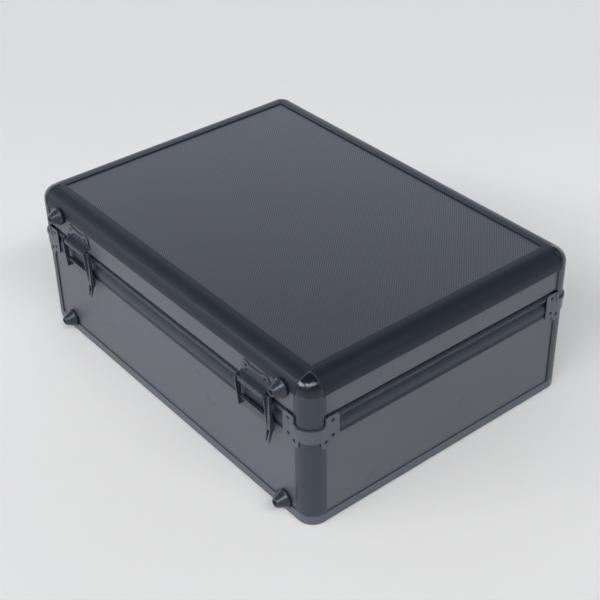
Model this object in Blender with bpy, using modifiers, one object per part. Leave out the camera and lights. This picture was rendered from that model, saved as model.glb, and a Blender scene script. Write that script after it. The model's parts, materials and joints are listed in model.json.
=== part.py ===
"""Attache case: boards held in aluminium extrusions, with stop hinges, draw latches and a handle.

Metres, +Z up. The front, with the handle and the latches, faces -Y; the hinges are at +Y.
The origin is at the middle of the underside.
"""

import math

import bmesh
import bpy
from mathutils import Matrix, Vector

# Body, outside the extrusions
BODY_LENGTH = 0.450
BODY_DEPTH = 0.333
BASE_HEIGHT = 0.1216
SEAM_GAP = 0.0028
LID_HEIGHT = 0.0416
CORNER_RADIUS = 0.0165

# Sheet, boards and the walls of the extrusions
LIP = 0.0008
WALL = 0.0012
BOARD = 0.004
LINING = 0.002
GAP = 0.0003

# The corner extrusion of the posts and the top rails
POST_LIP = 0.020
POST_FLANGE = 0.024
BOARD_SEAT = 0.0013
RAIL_TOP_LIP = 0.022
RAIL_SIDE_LIP = 0.0187

# Bent frame round the bottom
FRAME_LIP = 0.0113
FRAME_FLANGE = 0.016
FRAME_EDGE_RADIUS = 0.0026

# Valance extrusions either side of the seam
VALANCE_HEIGHT = 0.0236
VALANCE_SLOT = 0.0084
VALANCE_START = 0.0245
BAND_BOTTOM = 0.0040
BAND_BOTTOM_INSET = 0.0002
BAND_CREST = 0.0066
BAND_TOP = 0.0130
BAND_TOP_INSET = 0.0016
BAND_SHOULDER = 0.0100
BAND_SHOULDER_INSET = 0.0003
GROOVE_BOTTOM = 0.0150
GROOVE_DEPTH = 0.0025
BEAD_RADIUS = 0.0023
BEAD_START = -45
TONGUE_RISE = 0.0074
TONGUE_SHEET = 0.0014
TONGUE_INSET = 0.0042
CHANNEL_DEPTH = 0.0066
CHANNEL_INSET = 0.0064
SKIRT = 0.0013
SKIRT_ROUND = 0.0009

# Corner brackets on the base, and the tongues of the lid's posts that drop into them
BRACKET_SHEET = 0.0010
BRACKET_REACH = 0.034
BRACKET_BOTTOM = 0.095
BRACKET_ABOVE_BASE = 0.0019
BRACKET_ROUND = 0.003
BRACKET_TAB_REACH = (0.0135, 0.0245)
BRACKET_TAB = 0.005
BRACKET_ARCH = 0.0035
NOTCH_DEPTH = 0.0084
NOTCH_REACH = 0.0178
NOTCH_ROUND = 0.0034
NOTCH_RIM = 0.0030
NOTCH_RIM_HEIGHT = 0.0008
NOTCH_RIM_SETBACK = 0.0001
NOTCH_CLEARANCE = 0.0006
TONGUE_SKIN = 0.0010

# Ball corners of the lid, whose tenons plug into two rails and a post
BALL_SIDE = 0.0169
BALL_PROUD = 0.0002
TENON_LENGTH = 0.008

# Cone feet on the back, from the left end and from the right end
FEET_FROM_ENDS = (0.0355, 0.043)
LOWER_FOOT_Z = 0.0162
UPPER_FOOT_BELOW_TOP = 0.020
FOOT_RADIUS = 0.0098
FOOT_BASE_RADIUS = 0.0089
FOOT_RIM_HEIGHT = 0.0022
FOOT_TIP_RADIUS = 0.0046
FOOT_RIM = 0.0010
FOOT_HEIGHT = 0.0122
FOOT_BORE_RADIUS = 0.0026
FOOT_BORE_DEPTH = 0.005

# Hinges, from the left end and from the right end; the right arm of each is a long channel
HINGES_FROM_ENDS = (0.0735, 0.0770)
PIN_OUT = 0.0055
PIN_RISE = 0.0049
PIN_RADIUS = 0.0014
PIN_FIT = 0.0003
PIN_HEAD = (0.0025, 0.0008)
KNUCKLE_RADIUS = 0.0031
KNUCKLE_LENGTH = 0.036
LEAF_WIDTH = 0.041
LEAF_TOP = 0.0181
LEAF_BEND = 0.0046
LEAF_SHEET = 0.0010
LEAF_EAR = 0.0065
LEAF_DIP = 0.0025
LEAF_CLEARANCE = 0.0004
HOOD_STUB = 0.0036
ARM_SHEET = 0.0010
ARM_PLACE = 0.0202
ARM_TOP_RADIUS = 0.0027
ARM_BACK = 0.0022
ARM_REACH = 0.0058
ARM_ROUND = 0.0015
ARM_LENGTH = 0.0335
CHANNEL_WIDTH = 0.0045
CHANNEL_FACE = 0.0056
CHANNEL_RISE = 0.0046
CHANNEL_LENGTH = 0.0355
PRONG_ROOT = (0.0028, 0.0385)
PRONG_TIP = (0.0072, 0.0485)
PRONG_WIDTH = 0.0009
WEB_SHEET = 0.0011
WEB_BEND = 0.0016
WEB_LEDGE = 0.0048
WEB_TOP = 0.0226
WEB_BOTTOM = 0.0350

# Handle
HANDLE_SPAN = 0.126
HANDLE_DROP = 0.036
HANDLE_OUT = 0.0072
HANDLE_BELOW_VALANCE = 0.002
HANDLE_ARM_RADIUS = 0.0042
HANDLE_GRIP_RADIUS = 0.0066
HANDLE_BEND = 0.018
HANDLE_END_RADIUS = 0.0047
HANDLE_PIN_RADIUS = 0.0020
HANDLE_CLEARANCE = 0.0006
HANDLE_PLATE = (0.022, 0.030)
HANDLE_LUG = 0.0016
HANDLE_LUG_RADIUS = 0.0048

# Draw latches, from either end
LATCH_FROM_END = 0.075
LATCH_SHEET = 0.0012
LATCH_FIT = 0.0004
LATCH_PLATE = (0.034, 0.038)
LATCH_PLATE_BELOW_BASE = 0.0026
LATCH_PLATE_ROUND = 0.003
PIVOT_BELOW_BASE = 0.0178
PIVOT_RADIUS = 0.0012
EAR_SPACING = 0.0252
EAR_RADIUS = 0.0032
CRANK = 0.010
HOOK_WIDTH = 0.018
HOOK_KNUCKLE = 0.0024
HOOK_CURL = 0.0010
LEVER_ARM_RADIUS = 0.0028
LEVER_LENGTH = 0.027
LEVER_FACE_START = 0.0145
LEVER_LIP = 0.0022
CATCH_PLATE = (0.034, 0.0150)
CATCH_ABOVE_SEAM = 0.0046
CATCH_WIDTH = 0.016
CATCH_REACH = 0.0038
CATCH_HEIGHT = 0.0075
CATCH_TURN = 0.0022

ROUND_STEPS = 8
TURNED_STEPS = 24
ROD_STEPS = 16
ROUND_PROFILE = 0.5
LINING_DIAGONAL = 0.0130
LINING_CHAMFER = 0.012
WAY_OUT = 0.06

# Sizes that follow from those above
BODY_HEIGHT = BASE_HEIGHT + SEAM_GAP + LID_HEIGHT
LID_BOTTOM = BASE_HEIGHT + SEAM_GAP
INSET = LIP + GAP
BOARD_BACK = INSET + BOARD
FLANGE_FACE = BOARD_BACK + GAP
INSIDE_FACE = FLANGE_FACE + WALL
POST_WEB = CORNER_RADIUS + BOARD_SEAT
RAIL_START = BALL_SIDE + GAP
BOARD_START = POST_WEB + GAP
FLOOR_TOP = WALL + GAP + BOARD
VALANCE_BOTTOM = BASE_HEIGHT - VALANCE_HEIGHT
RAIL_BOTTOM = BODY_HEIGHT - RAIL_SIDE_LIP
NOTCH_BOTTOM = BASE_HEIGHT - NOTCH_DEPTH
CHANNEL_TOP = LID_BOTTOM + CHANNEL_DEPTH
HANDLE_Z = VALANCE_BOTTOM - HANDLE_BELOW_VALANCE - HANDLE_PLATE[1] / 2
PIN_Z = BASE_HEIGHT + PIN_RISE
PIVOT_Z = BASE_HEIGHT - PIVOT_BELOW_BASE
STUD_Z = PIVOT_Z - CRANK
PIVOT_OUT = CATCH_REACH + LATCH_FIT + HOOK_CURL + LATCH_SHEET / 2
CATCH_TOP = LID_BOTTOM + CATCH_ABOVE_SEAM + CATCH_HEIGHT + CATCH_TURN
HOOK_LENGTH = CATCH_TOP + LATCH_FIT + LATCH_SHEET - STUD_Z

SIDES = {
    "front": (Vector((0, -1, 0)), BODY_DEPTH / 2, BODY_LENGTH),
    "back": (Vector((0, 1, 0)), BODY_DEPTH / 2, BODY_LENGTH),
    "left": (Vector((-1, 0, 0)), BODY_LENGTH / 2, BODY_DEPTH),
    "right": (Vector((1, 0, 0)), BODY_LENGTH / 2, BODY_DEPTH),
}
CORNERS = {
    "back_right": (1, 1, 0),
    "back_left": (-1, 1, 90),
    "front_left": (-1, -1, 180),
    "front_right": (1, -1, 270),
}
UP = Vector((0, 0, 1))

FINISHES = {
    "extrusion": ((0.075, 0.075, 0.085), 0.38, 0.8),
    "board": ((0.16, 0.16, 0.17), 0.45, 0.6),
    "top_board": ((0.11, 0.115, 0.12), 0.5, 0.5),
    "bracket": ((0.11, 0.11, 0.12), 0.3, 0.9),
    "ball": ((0.012, 0.012, 0.014), 0.12, 0.6),
    "hinge": ((0.02, 0.02, 0.022), 0.3, 0.7),
    "foot": ((0.02, 0.02, 0.02), 0.4, 0.0),
    "latch": ((0.45, 0.45, 0.47), 0.22, 1.0),
    "grip": ((0.02, 0.02, 0.02), 0.5, 0.0),
    "lining": ((0.03, 0.03, 0.032), 0.9, 0.0),
}


# Scene, objects and modifiers


def clear_scene():
    for old in list(bpy.data.objects):
        bpy.data.objects.remove(old, do_unlink=True)


def new_collection(name):
    collection = bpy.data.collections.new(name)
    bpy.context.scene.collection.children.link(collection)
    return collection


def new_material(name, finish):
    color, roughness, metallic = FINISHES[finish]
    material = bpy.data.materials.new(name)
    material.use_nodes = True
    shader = material.node_tree.nodes["Principled BSDF"]
    shader.inputs["Base Color"].default_value = (*color, 1)
    shader.inputs["Roughness"].default_value = roughness
    shader.inputs["Metallic"].default_value = metallic
    return material


def add_part(name, mesh, finish, frame, parent=None):
    """Adds a sub-part, with its frame given in world space."""
    part = bpy.data.objects.new(name, mesh)
    parts.objects.link(part)
    mesh.materials.clear()
    mesh.materials.append(new_material(name, finish))
    mesh.shade_smooth()
    mesh.set_sharp_from_angle(angle=math.radians(30))
    part.matrix_world = frame
    if parent:
        part.parent = parent
        part.matrix_parent_inverse = parent.matrix_world.inverted()
    return part


def add_tool(name, mesh, frame):
    """Adds a shape that only cuts or joins another."""
    tool = bpy.data.objects.new(name, mesh)
    tools.objects.link(tool)
    tool.hide_render = True
    tool.display_type = "WIRE"
    tool.matrix_world = frame
    return tool


def combine(part, tool, operation):
    modifier = part.modifiers.new(tool.name, "BOOLEAN")
    modifier.object = tool
    modifier.operation = operation
    modifier.solver = "EXACT"


def cut(part, name, mesh, frame):
    combine(part, add_tool(f"{part.name}_{name}", mesh, frame), "DIFFERENCE")


def join(part, name, mesh, frame):
    combine(part, add_tool(f"{part.name}_{name}", mesh, frame), "UNION")


# Outlines and meshes


def arc(center, radius, start, end, steps=ROUND_STEPS):
    """Points of an arc, with its angles in degrees."""
    angles = [math.radians(start + (end - start) * i / steps) for i in range(steps + 1)]
    return [(center[0] + radius * math.cos(a), center[1] + radius * math.sin(a)) for a in angles]


def circle(radius):
    return arc((0, 0), radius, 0, 360, ROD_STEPS)[:-1]


def rounded_rectangle(width, height, radius, steps=ROUND_STEPS):
    x = width / 2 - radius
    y = height / 2 - radius
    corners = [((x, y), 0), ((-x, y), 90), ((-x, -y), 180), ((x, -y), 270)]
    return [point for center, turn in corners for point in arc(center, radius, turn, turn + 90, steps)]


def mirrored(outline):
    """An outline of the half at -X, from its middle to its middle, and its mirror image."""
    return outline + [(-x, y) for x, y in reversed(outline)]


def sheet(outlines, thickness):
    """A flat piece: the first outline filled but for the others, half the thickness either side of Z = 0."""
    curve = bpy.data.curves.new("outline", "CURVE")
    curve.dimensions = "2D"
    curve.fill_mode = "BOTH"
    curve.extrude = thickness / 2
    for outline in outlines:
        spline = curve.splines.new("POLY")
        spline.points.add(len(outline) - 1)
        for point, (x, y) in zip(spline.points, outline):
            point.co = (x, y, 0, 1)
        spline.use_cyclic_u = True
    return curve_mesh(curve)


def curve_mesh(curve):
    """The closed mesh of a curve."""
    draft = add_tool("draft", curve, Matrix())
    graph = bpy.context.evaluated_depsgraph_get()
    mesh = bpy.data.meshes.new_from_object(draft.evaluated_get(graph))
    bpy.data.objects.remove(draft)
    shape = bmesh.new()
    shape.from_mesh(mesh)
    bmesh.ops.remove_doubles(shape, verts=shape.verts, dist=1e-6)
    bmesh.ops.recalc_face_normals(shape, faces=shape.faces)
    shape.to_mesh(mesh)
    shape.free()
    return mesh


def shape_mesh(shape, name="shape"):
    mesh = bpy.data.meshes.new(name)
    shape.to_mesh(mesh)
    shape.free()
    return mesh


def box(low, high):
    """A box between two corners."""
    low = Vector(low)
    high = Vector(high)
    shape = bmesh.new()
    bmesh.ops.create_cube(shape, size=1)
    bmesh.ops.scale(shape, vec=high - low, verts=shape.verts)
    bmesh.ops.translate(shape, vec=(low + high) / 2, verts=shape.verts)
    return shape_mesh(shape)


def rod(radius, length):
    """A cylinder along Z, centred."""
    shape = bmesh.new()
    bmesh.ops.create_cone(
        shape, cap_ends=True, segments=ROD_STEPS, radius1=radius, radius2=radius, depth=length
    )
    return shape_mesh(shape)


def turned(profile):
    """An open profile of radius and height, top to bottom, for a Screw modifier about Z."""
    shape = bmesh.new()
    points = [shape.verts.new((radius, 0, height)) for radius, height in profile]
    for first, second in zip(points, points[1:]):
        shape.edges.new((first, second))
    return shape_mesh(shape)


def spin(part):
    screw = part.modifiers.new("turned", "SCREW")
    screw.axis = "Z"
    screw.steps = TURNED_STEPS
    screw.render_steps = TURNED_STEPS
    screw.use_merge_vertices = True
    screw.merge_threshold = 1e-5
    screw.use_smooth_shade = True


# Frames of the sides and the corners


def frame_of(x_axis, y_axis, origin):
    """A frame from its local X and Y, which are square to each other."""
    z_axis = x_axis.cross(y_axis)
    frame = Matrix((x_axis, y_axis, z_axis)).transposed().to_4x4()
    frame.translation = origin
    return frame


def section_frame(side, x=0, height=0):
    """Local X points out of a side, Y up and Z along it, so that sections stand across the side."""
    normal, offset, _length = SIDES[side]
    return frame_of(normal, UP, normal * offset + Vector((x, 0, height)))


def face_frame(side, x, height, out):
    """Local Z points out of the front or the back at a given place, and Y up."""
    normal, offset, _length = SIDES[side]
    return frame_of(UP.cross(normal), UP, normal * (offset + out) + Vector((x, 0, height)))


def corner_frame(corner, height=0):
    """Local +X and +Y point out of the two faces that meet at a corner, where the origin is."""
    x, y, turn = CORNERS[corner]
    origin = Vector((x * BODY_LENGTH / 2, y * BODY_DEPTH / 2, height))
    return Matrix.Translation(origin) @ Matrix.Rotation(math.radians(turn), 4, "Z")


def from_ends(left, right):
    """The two ends' names, with the places that lie so far from each along the length."""
    return ("left", left - BODY_LENGTH / 2), ("right", BODY_LENGTH / 2 - right)


def level(low, high):
    """A frame for a sheet that lies flat between two heights."""
    return Matrix.Translation((0, 0, (low + high) / 2))


# Extrusions


def chamber_outline(wall):
    """The quarter-round space in the corner extrusion, or with a thicker wall a tenon that fits it."""
    web = POST_WEB - wall
    slant = INSIDE_FACE + POST_WEB - wall * math.sqrt(2) - web
    radius = CORNER_RADIUS - wall
    start = math.degrees(math.asin(max(CORNER_RADIUS - web, 0) / radius))
    rounded = arc((-CORNER_RADIUS, -CORNER_RADIUS), radius, start, 90 - start)
    if web > CORNER_RADIUS:
        rounded = [(-wall, -web)] + rounded + [(-web, -wall)]
    return rounded + [(-web, -slant), (-slant, -web)]


def corner_section(lips, flanges):
    """The corner extrusion: a quarter-round chamber with a slot for a board on each side.

    Lips and flanges are reaches from the corner, first along Y = 0 and then along X = 0.
    """
    round_center = (-CORNER_RADIUS, -CORNER_RADIUS)
    along_x = [
        (-lips[0], 0),
        (-lips[0], -LIP),
        (-POST_WEB, -LIP),
        (-POST_WEB, -FLANGE_FACE),
        (-flanges[0], -FLANGE_FACE),
        (-flanges[0], -INSIDE_FACE),
        (-POST_WEB, -INSIDE_FACE),
    ]
    along_y = [
        (-INSIDE_FACE, -POST_WEB),
        (-INSIDE_FACE, -flanges[1]),
        (-FLANGE_FACE, -flanges[1]),
        (-FLANGE_FACE, -POST_WEB),
        (-LIP, -POST_WEB),
        (-LIP, -lips[1]),
        (0, -lips[1]),
    ]
    outline = arc(round_center, CORNER_RADIUS, 0, 90) + along_x + along_y
    return [outline, chamber_outline(WALL)]


def corner_envelope(offset):
    """The space inside a rounded corner, which reaches well into the case."""
    round_center = (-CORNER_RADIUS, -CORNER_RADIUS)
    outline = [(offset, -WAY_OUT)] + arc(round_center, CORNER_RADIUS + offset, 0, 90)
    return outline + [(-WAY_OUT, offset), (-WAY_OUT, -WAY_OUT)]


def make_bottom_frame():
    """A ring of angle section, bent round the four corners, with a rounded lower edge."""
    outline = rounded_rectangle(BODY_LENGTH, BODY_DEPTH, CORNER_RADIUS)
    shape = bmesh.new()
    shape.from_mesh(sheet([outline], FRAME_LIP))
    low = -FRAME_LIP / 2
    edges = [e for e in shape.edges if all(v.co.z < low + GAP for v in e.verts) and len(e.link_faces) == 2]
    rim = [e for e in edges if e.calc_face_angle() > 1]
    bmesh.ops.bevel(
        shape, geom=rim, offset=FRAME_EDGE_RADIUS, segments=4, profile=ROUND_PROFILE, affect="EDGES"
    )
    ring = add_part("bottom_frame", shape_mesh(shape), "extrusion", level(0, FRAME_LIP))
    radius = CORNER_RADIUS - LIP
    inside = rounded_rectangle(BODY_LENGTH - 2 * LIP, BODY_DEPTH - 2 * LIP, radius)
    cut(ring, "inside", sheet([inside], FRAME_LIP), level(WALL, FRAME_LIP + WALL))
    size = (BODY_LENGTH - 2 * FRAME_FLANGE, BODY_DEPTH - 2 * FRAME_FLANGE)
    window = rounded_rectangle(*size, CORNER_RADIUS)
    cut(ring, "window", sheet([window], WAY_OUT), level(0, 0))


def make_floor():
    radius = CORNER_RADIUS - INSET
    outline = rounded_rectangle(BODY_LENGTH - 2 * INSET, BODY_DEPTH - 2 * INSET, radius)
    add_part("floor_panel", sheet([outline], BOARD), "board", level(WALL + GAP, FLOOR_TOP))


def make_base_walls():
    top = VALANCE_BOTTOM + VALANCE_SLOT - GAP
    for side, (_normal, _offset, length) in SIDES.items():
        half = length / 2 - BOARD_START
        mesh = box((-BOARD_BACK, FLOOR_TOP + GAP, -half), (-INSET, top, half))
        add_part(f"base_wall_{side}", mesh, "board", section_frame(side))


def make_base_pillars():
    section = corner_section((POST_LIP, POST_LIP), (POST_FLANGE, POST_FLANGE))
    bottom = FRAME_LIP + GAP
    height = NOTCH_BOTTOM - bottom
    for corner in CORNERS:
        frame = corner_frame(corner, bottom + height / 2)
        add_part(f"base_pillar_{corner}", sheet(section, height), "extrusion", frame)


def base_valance_section():
    """Band, groove and bead outside, a slot for the wall board below, a chamber and a tongue on top."""
    lip = INSET - GAP
    bead_center = (-BEAD_RADIUS, VALANCE_HEIGHT - BEAD_RADIUS - GAP)
    outside = [
        (-BAND_BOTTOM_INSET, 0),
        (-BAND_BOTTOM_INSET, BAND_BOTTOM),
        (0, BAND_CREST),
        (-BAND_SHOULDER_INSET, BAND_SHOULDER),
        (-BAND_TOP_INSET, BAND_TOP),
        (-GROOVE_DEPTH, GROOVE_BOTTOM),
    ]
    outside += arc(bead_center, BEAD_RADIUS, BEAD_START, 90, 6)
    tongue = [
        (-BEAD_RADIUS - GAP, VALANCE_HEIGHT),
        (-TONGUE_INSET, VALANCE_HEIGHT),
        (-TONGUE_INSET, VALANCE_HEIGHT + TONGUE_RISE),
        (-TONGUE_INSET - TONGUE_SHEET, VALANCE_HEIGHT + TONGUE_RISE),
        (-TONGUE_INSET - TONGUE_SHEET, VALANCE_HEIGHT - WALL),
    ]
    inside = [
        (-INSIDE_FACE, VALANCE_HEIGHT - WALL),
        (-INSIDE_FACE, 0),
        (-FLANGE_FACE, 0),
        (-FLANGE_FACE, VALANCE_SLOT),
        (-lip, VALANCE_SLOT),
        (-lip, 0),
    ]
    face = GROOVE_DEPTH + WALL
    back = INSIDE_FACE - WALL
    bottom = VALANCE_SLOT + WALL
    top = VALANCE_HEIGHT - 2 * WALL
    chamber = [(-face, bottom), (-face, top), (-back, top), (-back, bottom)]
    return [outside + tongue + inside, chamber]


def make_base_valances():
    section = base_valance_section()
    for side, (_normal, _offset, length) in SIDES.items():
        frame = section_frame(side, 0, VALANCE_BOTTOM)
        mesh = sheet(section, length - 2 * VALANCE_START)
        add_part(f"base_valance_{side}", mesh, "extrusion", frame)


# Corner brackets, and the posts of the lid whose tongues drop into them


def wrap_corner(point):
    """Bends a flat sheet round a corner: X becomes the way round, Y height and Z the way out."""
    quarter = CORNER_RADIUS * math.pi / 4
    bend = max(-quarter, min(quarter, point.x))
    angle = math.pi / 4 + bend / CORNER_RADIUS
    out = Vector((math.cos(angle), math.sin(angle), 0))
    along = UP.cross(out)
    center = Vector((-CORNER_RADIUS, -CORNER_RADIUS, 0))
    return center + out * (CORNER_RADIUS + point.z) + along * (point.x - bend) + UP * point.y


def unrolled(reach):
    """How far round from the middle of a corner a point lies that is so far along a face."""
    return reach - CORNER_RADIUS + CORNER_RADIUS * math.pi / 4


def notch_outline(growth):
    """The U of the tongue, flat and grown outwards, from its top left round to its top right."""
    half = unrolled(NOTCH_REACH) + growth
    bottom = NOTCH_BOTTOM + NOTCH_CLEARANCE - growth
    radius = NOTCH_ROUND + growth
    left = arc((radius - half, bottom + radius), radius, 180, 270, 6)
    return left + [(-x, y) for x, y in reversed(left)]


def bracket_blank():
    """The bracket before it is bent: wings, tabs and the notch with its raised rim."""
    top = BASE_HEIGHT + BRACKET_ABOVE_BASE
    half = unrolled(BRACKET_REACH)
    radius = BRACKET_ROUND
    tab_in, tab_out = (unrolled(reach) for reach in BRACKET_TAB_REACH)
    notch = notch_outline(NOTCH_CLEARANCE)
    rim_inside = notch_outline(NOTCH_CLEARANCE + NOTCH_RIM_SETBACK)
    rim_outside = notch_outline(NOTCH_CLEARANCE + NOTCH_RIM)
    rim_top = top - NOTCH_RIM_SETBACK
    edge = [(notch[0][0], top)]
    edge += arc((radius - half, top - radius), radius, 90, 180, 4)
    edge += arc((radius - half, BRACKET_BOTTOM + radius), radius, 180, 270, 4)
    edge += [(-tab_out, BRACKET_BOTTOM)]
    edge += arc((radius - tab_out, BRACKET_BOTTOM - BRACKET_TAB + radius), radius, 180, 270, 4)
    edge += arc((-tab_in - radius, BRACKET_BOTTOM - BRACKET_TAB + radius), radius, 270, 360, 4)
    edge += [(-tab_in, BRACKET_BOTTOM + BRACKET_ARCH)]
    plate = edge + [(-x, y) for x, y in reversed(edge)] + list(reversed(notch))
    band = [(rim_outside[0][0], rim_top)] + rim_outside + [(rim_outside[-1][0], rim_top)]
    band += [(rim_inside[-1][0], rim_top)] + list(reversed(rim_inside)) + [(rim_inside[0][0], rim_top)]
    blank = add_tool("bracket_blank", sheet([plate], BRACKET_SHEET), Matrix())
    join(blank, "rim", sheet([band], BRACKET_SHEET), Matrix.Translation((0, 0, NOTCH_RIM_HEIGHT)))
    graph = bpy.context.evaluated_depsgraph_get()
    return bpy.data.meshes.new_from_object(blank.evaluated_get(graph))


def make_corner_brackets():
    shape = bmesh.new()
    shape.from_mesh(bracket_blank())
    quarter = CORNER_RADIUS * math.pi / 4
    for step in range(ROUND_STEPS + 1):
        place = Vector((quarter * (2 * step / ROUND_STEPS - 1), 0, 0))
        everything = shape.verts[:] + shape.edges[:] + shape.faces[:]
        bmesh.ops.bisect_plane(shape, geom=everything, plane_co=place, plane_no=(1, 0, 0), dist=1e-7)
    for vert in shape.verts:
        vert.co = wrap_corner(vert.co + Vector((0, 0, GAP + BRACKET_SHEET / 2)))
    bent = shape_mesh(shape)
    for corner in CORNERS:
        add_part(f"corner_bracket_{corner}", bent.copy(), "bracket", corner_frame(corner))


def make_lid_pillars():
    """Posts of the lid: their skin goes on down past the seam as a tongue with rounded corners."""
    section = corner_section((POST_LIP, POST_LIP), (POST_FLANGE, POST_FLANGE))
    bottom = NOTCH_BOTTOM + NOTCH_CLEARANCE
    top = BODY_HEIGHT - RAIL_START
    middle = (bottom + top) / 2
    beside = [(-WAY_OUT, LID_BOTTOM - middle), (-NOTCH_REACH, LID_BOTTOM - middle)]
    beside += arc((NOTCH_ROUND - NOTCH_REACH, bottom + NOTCH_ROUND - middle), NOTCH_ROUND, 180, 270, 6)
    beside += [(NOTCH_ROUND - NOTCH_REACH, bottom - middle - WALL), (-WAY_OUT, bottom - middle - WALL)]
    inner = POST_WEB - WALL + GAP
    cap = RAIL_BOTTOM - GAP
    for corner in CORNERS:
        frame = corner_frame(corner)
        post = add_part(f"lid_pillar_{corner}", sheet(section, top - bottom), "extrusion", frame)
        post.matrix_world = corner_frame(corner, middle)
        below = level(bottom - WALL, LID_BOTTOM)
        skirt = sheet([corner_envelope(-TONGUE_SKIN)], LID_BOTTOM - bottom + WALL)
        cut(post, "skirt", skirt, frame @ below)
        for name, along in (("x", Vector((0, 1, 0))), ("y", Vector((1, 0, 0)))):
            side = frame @ frame_of(along, UP, UP * middle)
            cut(post, f"beside_{name}", sheet([beside], 4 * BOARD), side)
        low = (-WAY_OUT, -WAY_OUT, bottom - WALL)
        cut(post, "channel", box(low, (-BOARD_BACK, -BOARD_BACK, CHANNEL_TOP + WALL + GAP)), frame)
        low = (-WAY_OUT, -WAY_OUT, cap)
        cut(post, "rail_x", box(low, (-inner, WALL, BODY_HEIGHT)), frame)
        cut(post, "rail_y", box(low, (WALL, -inner, BODY_HEIGHT)), frame)


# The lid


def make_top_rails():
    """The same extrusion as the posts, laid along the top edges and mitred at its ends."""
    section = corner_section((RAIL_TOP_LIP, RAIL_SIDE_LIP), (POST_FLANGE, RAIL_SIDE_LIP))
    for side, (_normal, _offset, length) in SIDES.items():
        frame = section_frame(side, 0, BODY_HEIGHT)
        mesh = sheet(section, length - 2 * RAIL_START)
        rail = add_part(f"top_rail_{side}", mesh, "extrusion", frame)
        for end in (-1, 1):
            corner = Matrix.Translation((0, 0, end * (length / 2 - GAP)))
            mitre = corner @ Matrix.Rotation(math.radians(-45 * end), 4, "Y")
            low, high = sorted((0, end * WAY_OUT))
            block = box((-WAY_OUT, -WAY_OUT, low), (WAY_OUT, WAY_OUT, high))
            cut(rail, "mitre", block, frame @ mitre)


def make_top_panel():
    size = (BODY_LENGTH - 2 * BOARD_START, BODY_DEPTH - 2 * BOARD_START)
    top = BODY_HEIGHT - INSET
    frame = level(top - BOARD, top)
    add_part("lid_top_panel", sheet([rounded_rectangle(*size, GAP, 1)], BOARD), "top_board", frame)


def make_ball_corners():
    """Cast three-way corners, rounded to a ball, with a tenon into each of two rails and a post."""
    shape = bmesh.new()
    bmesh.ops.create_cube(shape, size=BALL_SIDE + BALL_PROUD)
    middle = (BALL_PROUD - BALL_SIDE) / 2
    bmesh.ops.translate(shape, vec=(middle, middle, middle), verts=shape.verts)
    edges = [e for e in shape.edges if sum(all(v.co[i] > 0 for v in e.verts) for i in range(3)) == 2]
    bmesh.ops.bevel(
        shape,
        geom=edges,
        offset=CORNER_RADIUS + BALL_PROUD,
        segments=ROUND_STEPS,
        profile=ROUND_PROFILE,
        affect="EDGES",
    )
    everything = shape.verts[:] + shape.edges[:] + shape.faces[:]
    web = Vector((-POST_WEB, -INSIDE_FACE, -BALL_SIDE))
    bmesh.ops.bisect_plane(
        shape, geom=everything, plane_co=web, plane_no=(1, 1, 1), clear_inner=True, dist=1e-7
    )
    bmesh.ops.holes_fill(shape, edges=[e for e in shape.edges if e.is_boundary])
    bmesh.ops.recalc_face_normals(shape, faces=shape.faces)
    body = shape_mesh(shape)
    tenon = sheet([chamber_outline(WALL + GAP)], TENON_LENGTH + GAP)
    reach = BALL_SIDE + (TENON_LENGTH - GAP) / 2
    along_x = frame_of(Vector((0, 1, 0)), UP, Vector((-reach, 0, 0)))
    along_y = frame_of(Vector((1, 0, 0)), UP, Vector((0, -reach, 0)))
    for corner in CORNERS:
        frame = corner_frame(corner, BODY_HEIGHT)
        ball = add_part(f"ball_corner_{corner}", body.copy(), "ball", frame)
        join(ball, "tenon_x", tenon.copy(), frame @ along_x)
        join(ball, "tenon_y", tenon.copy(), frame @ along_y)
        join(ball, "tenon_z", tenon.copy(), frame @ level(-reach, -reach))


def make_lid_valances():
    """The flat wall of the lid, with a rounded lower edge and a channel over the base's tongue."""
    top = BODY_HEIGHT - BOARD_START
    back = -CHANNEL_INSET
    outline = arc((-INSET - SKIRT_ROUND, LID_BOTTOM + SKIRT_ROUND), SKIRT_ROUND, 270, 360, 4)
    outline += [
        (-INSET, top),
        (-BOARD_BACK, top),
        (-BOARD_BACK, CHANNEL_TOP + WALL),
        (back - WALL, CHANNEL_TOP + WALL),
        (back - WALL, LID_BOTTOM),
        (back, LID_BOTTOM),
        (back, CHANNEL_TOP),
        (-INSET - SKIRT, CHANNEL_TOP),
        (-INSET - SKIRT, LID_BOTTOM),
    ]
    for side, (_normal, _offset, length) in SIDES.items():
        mesh = sheet([outline], length - 2 * BOARD_START)
        add_part(f"lid_valance_{side}", mesh, "board", section_frame(side))


def make_lining(name, low, high, opening):
    """A thin tray that passes the webs of the posts and, in the lid, those of the top rails."""

    def block(inset, diagonal, bottom, top):
        size = (BODY_LENGTH - 2 * inset, BODY_DEPTH - 2 * inset)
        mesh = sheet([rounded_rectangle(*size, 2 * (diagonal - inset), 1)], top - bottom)
        if opening > 0:
            return mesh
        shape = bmesh.new()
        shape.from_mesh(mesh)
        level_edges = [e for e in shape.edges if all(v.co.z > 0 for v in e.verts)]
        rim = [e for e in level_edges if e.calc_face_angle() > 1]
        bmesh.ops.bevel(
            shape, geom=rim, offset=LINING_CHAMFER, segments=1, profile=ROUND_PROFILE, affect="EDGES"
        )
        return shape_mesh(shape)

    inset = INSIDE_FACE + GAP
    if opening < 0:
        inset = CHANNEL_INSET + WALL + GAP
    outer = block(inset, LINING_DIAGONAL, low, high)
    tray = add_part(name, outer, "lining", level(low, high))
    hollow_low = low + LINING * opening
    hollow_high = high + LINING * opening
    diagonal = LINING_DIAGONAL + LINING / math.sqrt(2)
    hollow = block(inset + LINING, diagonal, hollow_low, hollow_high)
    cut(tray, "hollow", hollow, level(hollow_low, hollow_high))


# What is fixed to the back


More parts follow.
